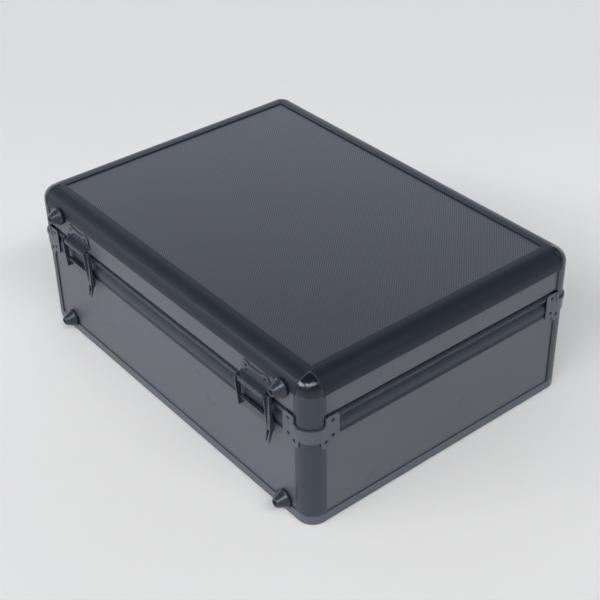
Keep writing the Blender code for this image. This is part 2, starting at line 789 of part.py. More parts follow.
def make_foot(name, x, height, back, ledge_low, ledge_high):
    """A cone foot with a recessed tip; its base steps over the extrusion that it straddles."""
    base = GAP - back
    profile = [
        (0, FOOT_HEIGHT - FOOT_BORE_DEPTH),
        (FOOT_BORE_RADIUS, FOOT_HEIGHT - FOOT_BORE_DEPTH),
        (FOOT_BORE_RADIUS, FOOT_HEIGHT - FOOT_RIM / 2),
        (FOOT_BORE_RADIUS + FOOT_RIM / 2, FOOT_HEIGHT),
        (FOOT_TIP_RADIUS - FOOT_RIM / 2, FOOT_HEIGHT),
        (FOOT_TIP_RADIUS, FOOT_HEIGHT - FOOT_RIM / 2),
        (FOOT_RADIUS - FOOT_RIM / 2, FOOT_RIM_HEIGHT + FOOT_RIM / 2),
        (FOOT_RADIUS, FOOT_RIM_HEIGHT),
        (FOOT_BASE_RADIUS, GAP),
        (FOOT_BASE_RADIUS, base),
        (0, base),
    ]
    frame = face_frame("back", x, height, 0)
    foot = add_part(name, turned(profile), "foot", frame)
    spin(foot)
    low = (-WAY_OUT, ledge_low - height, -WAY_OUT)
    cut(foot, "ledge", box(low, (WAY_OUT, ledge_high - height, GAP)), frame)


def make_feet():
    upper = BODY_HEIGHT - UPPER_FOOT_BELOW_TOP
    for end, x in from_ends(*FEET_FROM_ENDS):
        make_foot(f"rear_foot_lower_{end}", x, LOWER_FOOT_Z, INSET, -WAY_OUT, FRAME_LIP + GAP)
        make_foot(f"rear_foot_upper_{end}", x, upper, INSET, RAIL_BOTTOM - GAP, BODY_HEIGHT)


def make_hinge_lower_leaf(end, x):
    """One bent sheet: a low web with a ledge, a short arm, and a long channel that ends in prongs."""
    ear = arc((PIN_OUT, 0), ARM_TOP_RADIUS, 0, 150)
    crown = arc((CHANNEL_FACE - ARM_ROUND, CHANNEL_RISE - ARM_ROUND), ARM_ROUND, 0, 90, 4)
    crown += [(ARM_BACK, CHANNEL_RISE)]
    arm_back = [(ARM_BACK, 0), (ARM_BACK, -WEB_TOP - WEB_SHEET / 2), (GAP, -WEB_TOP - 2 * WEB_BEND)]
    arm = arm_back + [(GAP, -ARM_LENGTH)]
    arm += arc((ARM_REACH - ARM_ROUND, ARM_ROUND - ARM_LENGTH), ARM_ROUND, 270, 360, 4) + ear
    cheek = arm_back + [
        (GAP, -CHANNEL_LENGTH),
        (PRONG_ROOT[0], -PRONG_ROOT[1]),
        (PRONG_TIP[0] - PRONG_WIDTH, -PRONG_TIP[1]),
        (PRONG_TIP[0], -PRONG_TIP[1]),
        (CHANNEL_FACE, -CHANNEL_LENGTH),
    ]
    face = [
        (CHANNEL_FACE - ARM_SHEET, CHANNEL_RISE - ARM_ROUND),
        (CHANNEL_FACE - ARM_SHEET, -CHANNEL_LENGTH),
        (CHANNEL_FACE, -CHANNEL_LENGTH),
        (CHANNEL_FACE, CHANNEL_RISE - ARM_ROUND),
    ]
    bend = (GAP + WEB_BEND, -WEB_TOP - WEB_BEND)
    web = [(GAP, -WEB_BOTTOM), (GAP + WEB_SHEET, -WEB_BOTTOM)]
    web += arc(bend, WEB_BEND - WEB_SHEET, 180, 90, 3)
    web += [(WEB_LEDGE, -WEB_TOP - WEB_SHEET), (WEB_LEDGE, -WEB_TOP)] + arc(bend, WEB_BEND, 90, 180, 3)
    inner = -(LEAF_WIDTH + ARM_SHEET) / 2 - LEAF_CLEARANCE
    outer = inner - CHANNEL_WIDTH
    frame = section_frame("back", x, PIN_Z)
    middle = frame @ Matrix.Translation((0, 0, (ARM_PLACE + inner) / 2))
    leaf = add_part(f"hinge_lower_leaf_{end}", sheet([web], ARM_PLACE - inner), "hinge", middle)
    join(leaf, "arm", sheet([arm], ARM_SHEET), frame @ Matrix.Translation((0, 0, ARM_PLACE)))
    join(leaf, "cheek", sheet([cheek + ear], ARM_SHEET), frame @ Matrix.Translation((0, 0, inner)))
    join(leaf, "side", sheet([cheek + crown], ARM_SHEET), frame @ Matrix.Translation((0, 0, outer)))
    middle = Matrix.Translation((0, 0, (inner + outer) / 2))
    join(leaf, "channel", sheet([face], CHANNEL_WIDTH), frame @ middle)
    depth = inner - ARM_SHEET / 2 - GAP
    axis = Matrix.Translation((PIN_OUT, 0, depth + WAY_OUT / 2))
    cut(leaf, "bore", rod(PIN_RADIUS + PIN_FIT, WAY_OUT), frame @ axis)


def make_hinge_pin(end, x):
    """A pin with its head outside the short arm, and its other end flush in the channel."""
    head, thickness = PIN_HEAD
    top = ARM_PLACE + ARM_SHEET / 2 + GAP
    bottom = -LEAF_WIDTH / 2 - LEAF_CLEARANCE - ARM_SHEET
    profile = [
        (0, top + thickness),
        (head - thickness / 2, top + thickness),
        (head, top + thickness / 2),
        (head, top),
        (PIN_RADIUS, top),
        (PIN_RADIUS, bottom),
        (0, bottom),
    ]
    frame = section_frame("back", x, PIN_Z) @ Matrix.Translation((PIN_OUT, 0, 0))
    spin(add_part(f"hinge_pin_{end}", turned(profile), "hinge", frame))


def make_hinge_upper_leaf(end, x, lid):
    """A leaf on the lid with two riveted ears, a hood that sweeps out and a knuckle round the pin."""
    face = -INSET + GAP + LEAF_SHEET - PIN_OUT
    reach = math.hypot(face, LEAF_BEND)
    tangent = math.degrees(math.atan2(LEAF_BEND, face) - math.acos(KNUCKLE_RADIUS / reach))
    hood = math.degrees(math.acos((KNUCKLE_RADIUS - LEAF_SHEET) / KNUCKLE_RADIUS))
    outline = [(face, LEAF_TOP), (face, LEAF_BEND)]
    outline += arc((0, 0), KNUCKLE_RADIUS, tangent, tangent + hood - 360, 3 * ROUND_STEPS)
    slope = math.radians(tangent)
    drop = LEAF_SHEET * (1 - math.cos(slope)) / math.sin(slope)
    outline += [(face - LEAF_SHEET, LEAF_BEND - drop), (face - LEAF_SHEET, LEAF_TOP)]
    bore = circle(PIN_RADIUS + PIN_FIT)
    frame = section_frame("back", x, PIN_Z) @ Matrix.Translation((PIN_OUT, 0, 0))
    name = f"hinge_upper_leaf_{end}"
    leaf = add_part(name, sheet([outline, bore], LEAF_WIDTH), "hinge", frame, lid)
    beyond = LEAF_WIDTH
    dip = math.degrees(math.asin((LEAF_EAR - LEAF_DIP) / LEAF_EAR))
    ear = arc((LEAF_EAR - LEAF_WIDTH / 2, LEAF_TOP - LEAF_EAR), LEAF_EAR, 180, dip)
    half = [(0, beyond), (-beyond, beyond), (-beyond, LEAF_TOP - LEAF_EAR)] + ear
    above = half + [(-px, py) for px, py in reversed(half[1:])]
    cut(leaf, "ears", sheet([above], 4 * BOARD), face_frame("back", x, PIN_Z, 0))
    low = (-HOOD_STUB, -beyond, KNUCKLE_LENGTH - LEAF_WIDTH / 2)
    cut(leaf, "knuckle_end", box(low, (beyond, beyond, beyond)), frame)


def make_hinges(lid):
    for end, x in from_ends(*HINGES_FROM_ENDS):
        make_hinge_lower_leaf(end, x)
        make_hinge_pin(end, x)
        make_hinge_upper_leaf(end, x, lid)


# Handle and latches on the front


def make_handle_bracket(end, x):
    """A plate with two eyes, one either side of the end of the handle."""
    width, height = HANDLE_PLATE
    back = INSET - GAP
    plate = [rounded_rectangle(width, height, LATCH_PLATE_ROUND, 4)]
    frame = face_frame("front", x, HANDLE_Z, LATCH_SHEET / 2 - back)
    bracket = add_part(f"handle_bracket_{end}", sheet(plate, LATCH_SHEET), "latch", frame)
    eye = [(-back + LATCH_SHEET / 2, -HANDLE_LUG_RADIUS)]
    eye += arc((HANDLE_OUT, 0), HANDLE_LUG_RADIUS, 270, 450)
    eye += [(-back + LATCH_SHEET / 2, HANDLE_LUG_RADIUS)]
    section = section_frame("front", x, HANDLE_Z)
    spacing = HANDLE_ARM_RADIUS + HANDLE_CLEARANCE + HANDLE_LUG / 2
    for place in (-1, 1):
        lug = section @ Matrix.Translation((0, 0, place * spacing))
        join(bracket, "eye", sheet([eye], HANDLE_LUG), lug)
    axis = section @ Matrix.Translation((HANDLE_OUT, 0, 0))
    cut(bracket, "bore", rod(HANDLE_PIN_RADIUS + GAP, WAY_OUT), axis)


def make_handle():
    """A bar bent down at both ends and thickened into a grip, with a cross pin through each end."""
    half = HANDLE_SPAN / 2
    bend = HANDLE_BEND
    left = [(-half, 0), (-half, bend / 2 - HANDLE_DROP / 2)]
    left += arc((bend - half, bend - HANDLE_DROP), bend, 180, 270, 5)
    left += [(-half / 3, -HANDLE_DROP)]
    path = mirrored(left)
    curve = bpy.data.curves.new("handle", "CURVE")
    curve.dimensions = "3D"
    curve.bevel_depth = HANDLE_ARM_RADIUS
    curve.bevel_resolution = 3
    curve.use_fill_caps = True
    spline = curve.splines.new("POLY")
    spline.points.add(len(path) - 1)
    grip = HANDLE_GRIP_RADIUS / HANDLE_ARM_RADIUS
    for point, (x, height) in zip(spline.points, path):
        point.co = (x, height, 0, 1)
        if abs(x) < half - bend / 2:
            point.radius = grip
    pivot = bpy.data.objects.new("handle_pivot", None)
    parts.objects.link(pivot)
    frame = face_frame("front", 0, HANDLE_Z, HANDLE_OUT)
    pivot.matrix_world = frame
    handle = add_part("handle", curve_mesh(curve), "grip", frame, pivot)
    across = Matrix.Rotation(math.pi / 2, 4, "Y")
    length = 2 * (HANDLE_ARM_RADIUS + HANDLE_CLEARANCE + HANDLE_LUG)
    for place in (-half, half):
        end = frame @ Matrix.Translation((place, 0, 0))
        join(handle, "end", rod(HANDLE_END_RADIUS, 2 * HANDLE_ARM_RADIUS - GAP), end @ across)
        join(handle, "pin", rod(HANDLE_PIN_RADIUS, length), end @ across)


def make_latch_base(end, x):
    width, height = LATCH_PLATE
    top = BASE_HEIGHT - LATCH_PLATE_BELOW_BASE
    frame = face_frame("front", x, top - height / 2, GAP + LATCH_SHEET / 2)
    plate = [rounded_rectangle(width, height, LATCH_PLATE_ROUND, 4)]
    base = add_part(f"latch_base_{end}", sheet(plate, LATCH_SHEET), "latch", frame)
    ear = [(GAP + LATCH_SHEET / 2, -EAR_RADIUS)]
    ear += arc((PIVOT_OUT, 0), EAR_RADIUS, 270, 450)
    ear += [(GAP + LATCH_SHEET / 2, EAR_RADIUS)]
    section = section_frame("front", x, PIVOT_Z)
    for place in (-1, 1):
        side = section @ Matrix.Translation((0, 0, place * EAR_SPACING / 2))
        join(base, "ear", sheet([ear], LATCH_SHEET), side)
    axis = section @ Matrix.Translation((PIVOT_OUT, 0, 0))
    cut(base, "bore", rod(PIVOT_RADIUS + GAP, WAY_OUT), axis)


def make_latch_lever(end, x):
    """Two arms on the pivot, the stud that carries the hook, and a face with a lip for the finger."""
    arm_spacing = EAR_SPACING - 2 * (LATCH_SHEET + LATCH_FIT)
    frame = section_frame("front", x, PIVOT_Z) @ Matrix.Translation((PIVOT_OUT, 0, 0))
    tip = -LEVER_LENGTH
    radius = LEVER_ARM_RADIUS
    face = [
        (radius - LATCH_SHEET, -LEVER_FACE_START),
        (radius - LATCH_SHEET, tip),
        (radius + LEVER_LIP, tip),
        (radius + LEVER_LIP, tip + LATCH_SHEET),
        (radius, tip + LATCH_SHEET),
        (radius, -LEVER_FACE_START),
    ]
    lever = add_part(f"latch_lever_{end}", sheet([face], arm_spacing), "latch", frame)
    arm = arc((0, 0), radius, 0, 180) + [(-radius, tip + radius), (0, tip), (radius, tip)]
    for place in (-1, 1):
        side = frame @ Matrix.Translation((0, 0, place * arm_spacing / 2))
        join(lever, "arm", sheet([arm], LATCH_SHEET), side)
        pivot = Matrix.Translation((0, 0, place * EAR_SPACING / 2))
        join(lever, "pivot", rod(PIVOT_RADIUS, 2 * LATCH_SHEET + LATCH_FIT), frame @ pivot)
    stud = frame @ Matrix.Translation((0, -CRANK, 0))
    join(lever, "stud", rod(PIVOT_RADIUS, arm_spacing), stud)


def make_latch_hook(end, x):
    """A strap rolled round the lever's stud, with its upper end curled towards the catch."""
    half = LATCH_SHEET / 2
    roll = math.degrees(math.asin(half / HOOK_KNUCKLE))
    outline = arc((0, 0), HOOK_KNUCKLE, 90 - roll, -270 + roll, 2 * ROUND_STEPS)
    outline += [
        (-half, HOOK_LENGTH - LATCH_SHEET),
        (-half - HOOK_CURL, HOOK_LENGTH - LATCH_SHEET),
        (-half - HOOK_CURL, HOOK_LENGTH),
        (half, HOOK_LENGTH),
    ]
    bore = circle(PIVOT_RADIUS + GAP)
    stud = Matrix.Translation((PIVOT_OUT, -CRANK, 0))
    frame = section_frame("front", x, PIVOT_Z) @ stud
    add_part(f"latch_hook_{end}", sheet([outline, bore], HOOK_WIDTH), "latch", frame)


def make_latch_catch(end, x):
    """A plate on the lid with a lip that turns up under the curl of the hook."""
    width, height = CATCH_PLATE
    bottom = LID_BOTTOM + CATCH_ABOVE_SEAM
    back = INSET - GAP
    plate = [rounded_rectangle(width, height, LATCH_PLATE_ROUND, 4)]
    frame = face_frame("front", x, bottom + height / 2, LATCH_SHEET / 2 - back)
    catch = add_part(f"latch_catch_{end}", sheet(plate, LATCH_SHEET), "latch", frame)
    lip = [
        (LATCH_SHEET / 2 - back, CATCH_HEIGHT),
        (LATCH_SHEET / 2 - back, CATCH_HEIGHT - LATCH_SHEET),
        (CATCH_REACH, CATCH_HEIGHT - LATCH_SHEET),
        (CATCH_REACH, CATCH_HEIGHT + CATCH_TURN),
        (CATCH_REACH - LATCH_SHEET, CATCH_HEIGHT + CATCH_TURN),
        (CATCH_REACH - LATCH_SHEET, CATCH_HEIGHT),
    ]
    join(catch, "lip", sheet([lip], CATCH_WIDTH), section_frame("front", x, bottom))


def make_front():
    side = (BODY_LENGTH - HANDLE_SPAN) / 2
    for end, x in from_ends(side, side):
        make_handle_bracket(end, x)
    make_handle()
    for end, x in from_ends(LATCH_FROM_END, LATCH_FROM_END):
        make_latch_base(end, x)
        make_latch_lever(end, x)
        make_latch_hook(end, x)
        make_latch_catch(end, x)


clear_scene()
parts = new_collection("attache_case")
tools = new_collection("cutters_and_joins")
tools.hide_render = True

make_bottom_frame()
make_floor()
make_base_walls()
make_base_pillars()
make_base_valances()
make_corner_brackets()
make_lining("base_lining", FLOOR_TOP + GAP, NOTCH_BOTTOM - WALL, 1)
make_lid_pillars()
make_top_rails()
make_top_panel()
make_ball_corners()
make_lid_valances()
lining_top = BODY_HEIGHT - FLANGE_FACE - WALL - GAP
make_lining("lid_lining", CHANNEL_TOP + WALL + GAP, lining_top, -1)
make_feet()
lid_hinge = bpy.data.objects.new("lid_hinge", None)
parts.objects.link(lid_hinge)
lid_hinge.matrix_world = section_frame("back", 0, PIN_Z) @ Matrix.Translation((PIN_OUT, 0, 0))
make_hinges(lid_hinge)
make_front()
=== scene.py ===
import json
import math

import bmesh
import bpy
from mathutils import Matrix, Vector


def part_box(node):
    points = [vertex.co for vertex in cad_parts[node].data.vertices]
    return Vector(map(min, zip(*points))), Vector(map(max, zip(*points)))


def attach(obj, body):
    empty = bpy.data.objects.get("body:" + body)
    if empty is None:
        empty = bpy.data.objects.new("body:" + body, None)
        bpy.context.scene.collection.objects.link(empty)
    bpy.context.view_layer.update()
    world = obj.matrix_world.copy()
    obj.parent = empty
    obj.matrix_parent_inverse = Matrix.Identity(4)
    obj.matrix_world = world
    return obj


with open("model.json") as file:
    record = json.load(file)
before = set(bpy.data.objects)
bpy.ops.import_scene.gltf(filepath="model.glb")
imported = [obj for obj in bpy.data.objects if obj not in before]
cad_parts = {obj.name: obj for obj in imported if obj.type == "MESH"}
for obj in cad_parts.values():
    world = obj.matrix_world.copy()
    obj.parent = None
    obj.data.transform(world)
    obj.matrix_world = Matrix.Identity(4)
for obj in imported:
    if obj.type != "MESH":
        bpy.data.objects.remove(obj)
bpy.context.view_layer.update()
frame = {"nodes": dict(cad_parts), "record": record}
nodes = frame["nodes"]
print("frame loaded:", len(nodes), "nodes")

ends = ("left", "right")
corners = {  # the side of the case that each corner is on, along X and Y
    "back_right": (1, 1),
    "back_left": (-1, 1),
    "front_left": (-1, -1),
    "front_right": (1, -1),
}
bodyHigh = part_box("bottom_frame")[1]  # its X and Y are the outer faces of the body's bars


class Wire:
    # an output socket, so that shader maths reads as an expression
    def __init__(self, net, socket):
        self.net = net
        self.socket = socket

    def maths(self, operation, first, second=0.0):
        return self.net.node("Math", {"operation": operation}, {0: first, 1: second})

    def __add__(self, other):
        return self.maths("ADD", self, other)

    def __sub__(self, other):
        return self.maths("SUBTRACT", self, other)

    def __rsub__(self, other):
        return self.maths("SUBTRACT", other, self)

    def __mul__(self, other):
        return self.maths("MULTIPLY", self, other)

    __radd__ = __add__
    __rmul__ = __mul__

    def wave(self):
        return self.maths("SINE", self)

    def size(self):
        return self.maths("ABSOLUTE", self)

    def smooth(self, low, high):
        # 0 below low and 1 above high, or the other way round when high is the smaller
        sockets = {"Value": self, "From Min": low, "From Max": high}
        return self.net.node("MapRange", {"interpolation_type": "SMOOTHSTEP"}, sockets)


class Net:
    # a node tree and the ways that nodes are added to it
    def __init__(self, tree):
        self.tree = tree

    def node(self, kind, settings=None, sockets=None, output=0):
        made = self.tree.nodes.new("ShaderNode" + kind)
        for key, value in (settings or {}).items():
            setattr(made, key, value)
        for key, value in (sockets or {}).items():
            self.feed(made.inputs[key], value)
        return Wire(self, made.outputs[output])

    def feed(self, socket, value):
        if isinstance(value, Wire):
            self.tree.links.new(value.socket, socket)
        else:
            socket.default_value = value

    def place(self):
        return self.node("TexCoord", output="Object")

    def axes(self, vector):
        split = self.node("SeparateXYZ", {}, {0: vector})
        return [Wire(self, output) for output in split.socket.node.outputs]

    def noise(self, scale, detail=2.0, stretch=None):
        where = self.place()
        if stretch:
            sockets = {0: where, 1: stretch}
            where = self.node("VectorMath", {"operation": "MULTIPLY"}, sockets)
        sockets = {"Vector": where, "Scale": scale, "Detail": detail}
        return self.node("TexNoise", {}, sockets)

    def between(self, share, low, high):
        # the Mix node's colour sockets are its inputs 6 and 7 and its output 2
        sockets = {"Factor": share, 6: low, 7: high}
        return self.node("Mix", {"data_type": "RGBA"}, sockets, 2)


edgeWear = {
    "samples": 4,
    "lean": (0.08, 0.26),  # 1 less the cosine of the lean, from unworn to worn
}
# painted shade: seams and grooves are painted darker where little light reaches them
paintedSeamShade = {
    "samples": 6,
    "open": (0.15, 0.6),  # share of open sky, from a deep seam to a clear face
}


class Finish(Net):
    # a procedural material on one Principled shader
    def __init__(self, name, constants):
        self.material = bpy.data.materials.new(name)
        self.material.use_nodes = True
        super().__init__(self.material.node_tree)
        self.shader = self.tree.nodes["Principled BSDF"]
        for socket, value in constants.items():
            self.shader.inputs[socket].default_value = value

    def paint(self, **parts):
        for name, value in parts.items():
            self.feed(self.shader.inputs[name.replace("_", " ")], value)

    def rounded(self, radius):
        return self.node("Bevel", {"samples": edgeWear["samples"]}, {"Radius": radius})

    def wornEdge(self, rounding, patches):
        # 1 on sharp edges that hands and floors have rubbed, 0 on flats
        scale, spread = patches
        flat = self.node("NewGeometry", output="Normal")
        sockets = {0: rounding, 1: flat}
        same = self.node("VectorMath", {"operation": "DOT_PRODUCT"}, sockets, "Value")
        rubbed = self.noise(scale, 3.0).smooth(0.5 - spread, 0.5 + spread)
        return (1 - same).smooth(*edgeWear["lean"]) * rubbed

    def paintedShadeMask(self, reach):
        # mask for painted shade: 0 deep in seams and grooves, where shade falls, 1 in the open
        settings = {"samples": paintedSeamShade["samples"]}
        clear = self.node("AmbientOcclusion", settings, {"Distance": reach}, "AO")
        return clear.smooth(*paintedSeamShade["open"])

    def mottled(self, share, color, spread):
        # the colour and lighter and darker patches of it
        low, high = spread
        return self.between(share, shade(color, low), shade(color, high))

    def relief(self, height, depth, rounding=None):
        sockets = {"Height": height, "Distance": depth}
        if rounding:
            sockets["Normal"] = rounding
        return self.node("Bump", {}, sockets)


def cool(level, blue=1.0):
    # a slightly blue grey
    return (level, level * (1 + 0.09 * blue), level * (1 + 0.30 * blue), 1)


def shade(color, factor):
    return tuple(channel * factor for channel in color[:3]) + (1,)


# Walls and lid

wallLook = {
    "color": cool(0.096, 0.8),
    "mottle": (0.9, 1.1),
    "metallic": 0.25,
    "roughness": 0.40,
    "uneven": (0.14, 0.06, 0.08),  # roughness added by the clouds, the grain and the scuffs
    "cloud": 5.0,
    "grain": 1500.0,
    "grainDepth": 0.00002,
    "scuffs": 26.0,
    "scuffStretch": (1.0, 1.0, 7.0),
    "scuffEdge": (0.62, 0.75),
    "scuffBreaks": 78.0,
    "breakStretch": (0.5, 0.5, 1.0),
    "breakEdge": (0.45, 0.7),
    "scuffShade": 0.8,
    # painted shade in the seams: how far it reaches and how dark it is
    "paintedShadeReach": 0.003,
    "paintedShadeLevel": 0.35,
}


def makeWallLaminate():
    # thin anodised sheet on board, with faint rub marks and painted shade in its seams
    look = wallLook
    finish = Finish("wall_laminate", {"IOR": 1.5, "Metallic": look["metallic"]})
    cloud = finish.noise(look["cloud"], 4.0)
    grain = finish.noise(look["grain"], 2.0)
    streak = finish.noise(look["scuffs"], 3.0, look["scuffStretch"])
    broken = finish.noise(look["scuffBreaks"], 2.0, look["breakStretch"])
    scuff = streak.smooth(*look["scuffEdge"]) * broken.smooth(*look["breakEdge"])
    color = finish.mottled(cloud, look["color"], look["mottle"])
    color = finish.between(scuff, color, shade(look["color"], look["scuffShade"]))
    # painted shade: darker in seams and corners
    paintedSeamColor = shade(look["color"], look["paintedShadeLevel"])
    color = finish.between(finish.paintedShadeMask(look["paintedShadeReach"]), paintedSeamColor, color)
    byCloud, byGrain, byScuff = look["uneven"]
    rough = look["roughness"] + (cloud - 0.5) * byCloud + (grain - 0.5) * byGrain
    finish.paint(Base_Color=color, Roughness=rough + scuff * byScuff)
    finish.paint(Normal=finish.relief(grain, look["grainDepth"]))
    return finish.material


topLook = {
    # the strokes' painted shading: colour in their grooves and on their crests
    "low": cool(0.038, 0.9),
    "high": cool(0.103, 0.9),
    "metallic": 0.5,
    "roughness": 0.38,
    "pitch": 0.0022,
    "strokeAngle": -46.0,
    "crossPitch": 0.0105,
    "crossAngle": 44.0,
    "crossShare": 0.35,
    "ridge": (-0.9, 0.9),  # of the wave, from groove to crest
    "depth": 0.00005,
    "uneven": (0.14, 0.08),  # roughness added by the clouds and taken off by the strokes
    "cloud": 4.0,
    "patches": 38.0,
    "patchEdge": (0.35, 0.65),
    "faded": 0.4,  # how much of the strokes' contrast is lost in patches
}


def makeTopLaminate():
    # rolled sheet with fine raised strokes, crossed by a fainter set; the crests are painted
    # lighter and the grooves darker, a painted shading of the relief
    look = topLook
    finish = Finish("top_laminate", {"IOR": 1.5, "Metallic": look["metallic"]})
    x, y, _z = finish.axes(finish.place())

    def strokes(angle, pitch):
        turn = math.radians(angle)
        turns = 2 * math.pi / pitch
        return (x * (-math.sin(turn) * turns) + y * (math.cos(turn) * turns)).wave()

    main = strokes(look["strokeAngle"], look["pitch"])
    cross = strokes(look["crossAngle"], look["crossPitch"])
    ridge = main * (1 - look["crossShare"]) + main * cross * look["crossShare"]
    height = ridge.smooth(*look["ridge"])
    cloud = finish.noise(look["cloud"], 3.0)
    patch = finish.noise(look["patches"], 2.0).smooth(*look["patchEdge"])
    # painted light and shade of the relief: crests lighter, grooves darker
    color = finish.between(height, look["low"], look["high"])
    plain = finish.between(0.5, look["low"], look["high"])
    color = finish.between(patch * look["faded"], color, plain)
    byCloud, byStroke = look["uneven"]
    rough = look["roughness"] + (cloud - 0.5) * byCloud - height * byStroke
    finish.paint(Base_Color=color, Roughness=rough)
    finish.paint(Normal=finish.relief(height, look["depth"]))
    return finish.material


# Drawn bars: posts, bottom frame, valances and rails

blueTint = (0.78, 0.90, 1.0, 1)  # of the reflections in dark finishes
extrusionLook = {
    "color": cool(0.038, 1.6),
    "metallic": 0.2,
    "roughness": 0.34,
    "gloss": 0.5,
    "tint": blueTint,
    "rounding": 0.0016,
    "wear": 1.5,
}
frameLook = extrusionLook | {"color": cool(0.092, 1.2), "rounding": 0.0012, "wear": 1.3}
valanceLook = extrusionLook | {
    "color": cool(0.030, 1.6),
    "tint": (0.74, 0.88, 1.0, 1),
    "rounding": 0.0003,
    "wear": 1.0,
}
railLook = {
    "color": cool(0.011, 2.6),
    "metallic": 0.0,
    "roughness": 0.42,
    "gloss": 0.32,
    "tint": (0.72, 0.86, 1.0, 1),
    "rounding": 0.0009,
    "wear": 1.0,
}
drawnLook = {
    "mottle": (0.85, 1.15),
    "uneven": (0.14, 0.08, 0.06),  # roughness added by the clouds, the draw lines and wear
    "cloud": 9.0,
    "wornPatches": (60.0, 0.5),  # scale and softness
    "streaks": 700.0,
    "along": 0.001,  # how much the draw lines change along a bar
    "depth": 0.000012,
    # painted shade in the seams: how far it reaches and how dark it is
    "paintedShadeReach": 0.004,
    "paintedShadeLevel": 0.12,
}
# painted shade: dark bands where the valance's lip casts its shadow and its groove lies in shade
valanceShadeBands = {
    "color": (0.002, 0.005, 0.010, 1),
    "core": 0.2,  # share of the width that is fully dark
    # height above the valance's lower edge, half the width, strength
    "lines": [(0.0030, 0.0042, 1.0), (0.0147, 0.0032, 0.5)],
}


def paintValanceShadeBands(finish, color, bottom):
    # painted shade: dark bands under the valance's lip and in its groove
    z = finish.axes(finish.place())[2]
    for rise, half, strength in valanceShadeBands["lines"]:
        line = (z - (bottom + rise)).size().smooth(half, half * valanceShadeBands["core"])
        color = finish.between(line * strength, color, valanceShadeBands["color"])
    return color


def makeDrawn(name, look, axis, bottom=None):
    # extruded and anodised bar, with faint draw lines along its length, painted shade in its seams
    # and, on valances, painted shade bands
    finish = Finish(name + "_" + axis, {
        "IOR": 1.5,
        "Metallic": look["metallic"],
        "Specular IOR Level": look["gloss"],
        "Specular Tint": look["tint"],
    })
    along = tuple(drawnLook["along"] if axis == letter else 1.0 for letter in "xyz")
    cloud = finish.noise(drawnLook["cloud"], 3.0)
    lines = finish.noise(drawnLook["streaks"], 2.0, along)
    rounding = finish.rounded(look["rounding"])
    worn = finish.wornEdge(rounding, drawnLook["wornPatches"])
    color = finish.mottled(cloud, look["color"], drawnLook["mottle"])
    color = finish.between(worn, color, shade(look["color"], look["wear"]))
    # painted shade: darker in seams and corners
    paintedSeamColor = shade(look["color"], drawnLook["paintedShadeLevel"])
    color = finish.between(finish.paintedShadeMask(drawnLook["paintedShadeReach"]), paintedSeamColor, color)
    # painted shade bands along the valance
    if bottom is not None:
        color = paintValanceShadeBands(finish, color, bottom)
    byCloud, byLines, byWear = drawnLook["uneven"]
    rough = look["roughness"] + (cloud - 0.5) * byCloud + (lines - 0.5) * byLines
    finish.paint(Base_Color=color, Roughness=rough + worn * byWear)
    finish.paint(Normal=finish.relief(lines, drawnLook["depth"], rounding))
    return finish.material


# Painted and plated hardware

coatedLook = {
    "metallic": 0.0,
    "grain": 500.0,
    "depth": 0.00002,
    "rounding": 0.0003,
    "wear": 3.0,  # how much brighter a rubbed edge is
    "wornPatches": (120.0, 0.3),  # scale and softness
    "wornRoughness": 0.1,
    "mottle": (0.8, 1.25),
    "cloud": 30.0,
    "coatRoughness": 0.12,
}
coatedLooks = {
    "bracket": coatedLook | {
        "color": cool(0.085, 1.0),
        "metallic": 0.3,
        "roughness": 0.32,
        "spread": 0.03,
        "coat": 0.1,
        "grain": 1500.0,
        "depth": 0.000003,
        "rounding": 0.0005,
        "wear": 1.4,
    },
    "ball_corner": coatedLook | {
        "color": cool(0.005, 3.0),
        "roughness": 0.06,
        "spread": 0.03,
        "coat": 0.12,
        "grain": 240.0,
        "depth": 0.000004,
        "rounding": 0.0024,
        "wear": 1.5,
    },
    "foot": coatedLook | {
        "color": cool(0.020, 2.0),
        "roughness": 0.28,
        "spread": 0.06,
        "coat": 0.1,
        "depth": 0.00001,
        "rounding": 0.0018,
        "wear": 1.6,
    },
    "hinge_steel": coatedLook | {
        "color": cool(0.026, 1.8),
        "roughness": 0.26,
        "spread": 0.12,
        "coat": 0.25,
    },
    "latch_steel": coatedLook | {
        "color": cool(0.018),
        "roughness": 0.22,
        "spread": 0.14,
        "coat": 0.4,
        "rounding": 0.0004,
    },
    "rivet": coatedLook | {
        "color": cool(0.005, 2.0),
        "roughness": 0.34,
        "spread": 0.18,
        "coat": 0.0,
        "grain": 600.0,
        "rounding": 0.0002,
        "wear": 2.0,
    },
    "screw": coatedLook | {
        "color": cool(0.050),
        "metallic": 0.8,
        "roughness": 0.30,
        "spread": 0.16,
        "coat": 0.0,
        "grain": 600.0,
        "rounding": 0.0002,
        "wear": 2.0,
    },
}


def makeCoated(name):
    # black paint or plating with a faint orange peel, rubbed brighter on its edges
    look = coatedLooks[name]
    finish = Finish(name + "_coat", {
        "Coat Weight": look["coat"],
        "Coat Roughness": look["coatRoughness"],
        "Metallic": look["metallic"],
        "Specular Tint": blueTint,
    })
    cloud = finish.noise(look["cloud"], 3.0)
    fine = finish.noise(look["grain"], 3.0)
    rounding = finish.rounded(look["rounding"])
    worn = finish.wornEdge(rounding, look["wornPatches"])
    color = finish.mottled(cloud, look["color"], look["mottle"])
    finish.paint(Base_Color=finish.between(worn, color, shade(look["color"], look["wear"])))
    uneven = (cloud - 0.5) * look["spread"] + (fine - 0.5) * look["spread"]
    finish.paint(Roughness=look["roughness"] + uneven + worn * look["wornRoughness"])
    finish.paint(Normal=finish.relief(fine, look["depth"], rounding))
    return finish.material


